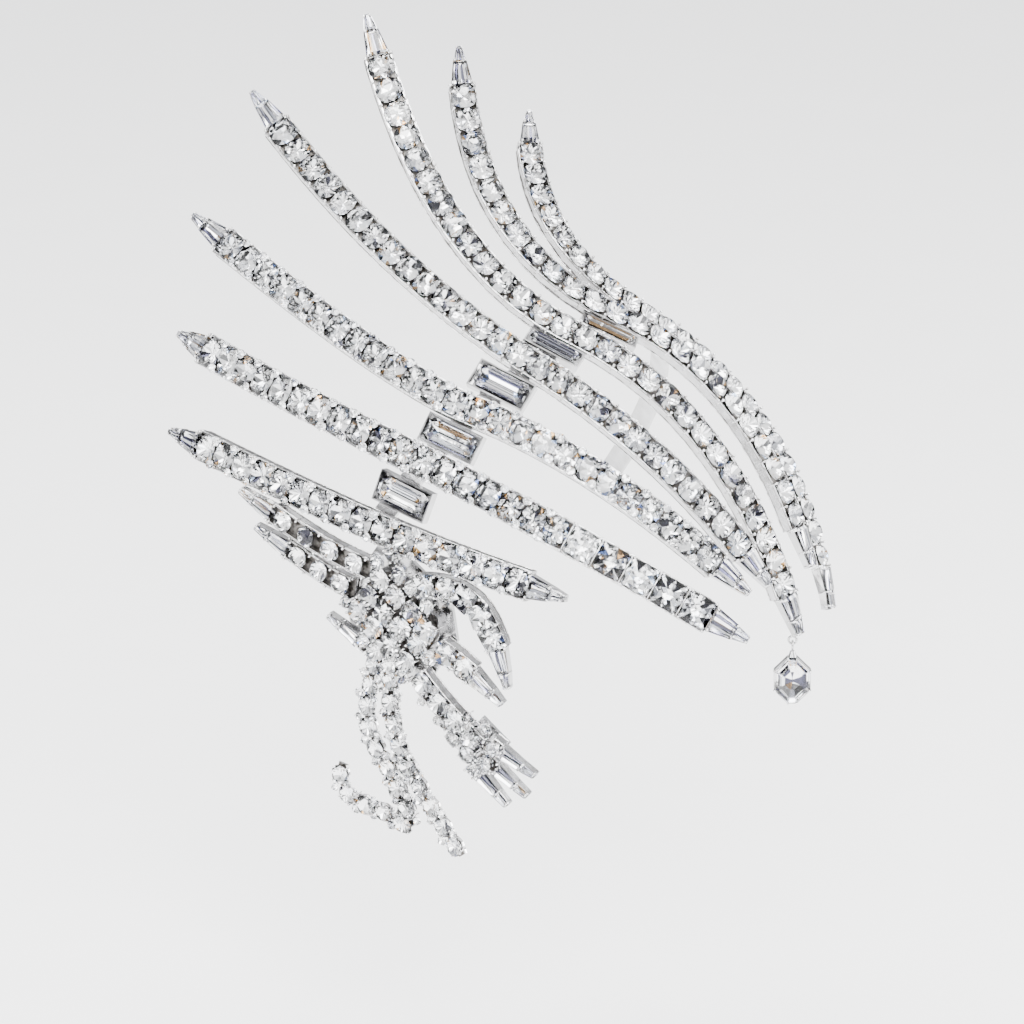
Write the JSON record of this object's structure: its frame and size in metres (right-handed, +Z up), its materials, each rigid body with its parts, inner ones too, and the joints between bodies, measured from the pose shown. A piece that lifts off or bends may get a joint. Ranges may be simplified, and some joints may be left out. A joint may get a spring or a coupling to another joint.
{
  "type": "fringe tiara",
  "caption": "Silver headpiece of long curved spines set with clear cut stones, crossing a band over the head, with a claw-shaped spray over one ear and a hanging drop.",
  "frame": {"origin": "middle of the band's underside, where it sits on the crown of the head", "axes": "+Z up, the wearer faces -Y, +X towards the wearer's left"},
  "size_m": [0.1784, 0.2544, 0.3222],
  "materials": {
    "silver": "bright silver plate",
    "crystal": "clear cut glass with foiled backs"
  },
  "bodies": {
    "headpiece": {"cross_band": "silver", "spine_1": "silver", "spine_2": "silver", "spine_3": "silver", "spine_4": "silver", "spine_5": "silver", "spine_6": "silver", "spine_7": "silver", "spine_1_stones": "crystal", "spine_2_stones": "crystal", "spine_3_stones": "crystal", "spine_4_stones": "crystal", "spine_5_stones": "crystal", "spine_6_stones": "crystal", "spine_7_stones": "crystal", "spine_1_tips": "crystal", "spine_2_tips": "crystal", "spine_3_tips": "crystal", "spine_4_tips": "crystal", "spine_5_tips": "crystal", "spine_6_tips": "crystal", "spine_7_tips": "crystal", "baguette_1": "crystal", "baguette_2": "crystal", "baguette_3": "crystal", "baguette_4": "crystal", "baguette_5": "crystal", "baguette_6": "crystal", "baguette_settings": "silver", "ear_plate": "silver", "ear_cluster": "crystal", "back_spike_1": "silver", "back_spike_2": "silver", "side_spike": "silver", "claw_1": "silver", "claw_2": "silver", "claw_3": "silver", "toe_1": "silver", "toe_2": "silver", "toe_3": "silver", "claw_palm": "silver", "spike_stones": "crystal", "claw_stones": "crystal", "tail_1": "silver", "tail_2": "silver", "drop_eye": "silver"},
    "drop": {"drop_ring": "silver", "drop_cap": "silver", "drop_setting": "silver", "drop_stone": "crystal"}
  },
  "joints": [
    {"name": "drop_swing", "type": "hinge", "parent": "headpiece", "child": "drop", "pos_m": [0.0299, -0.07657, -0.12082], "axis": [0.6428, -0.766, 0], "range_deg": [-80, 60]}
  ]
}
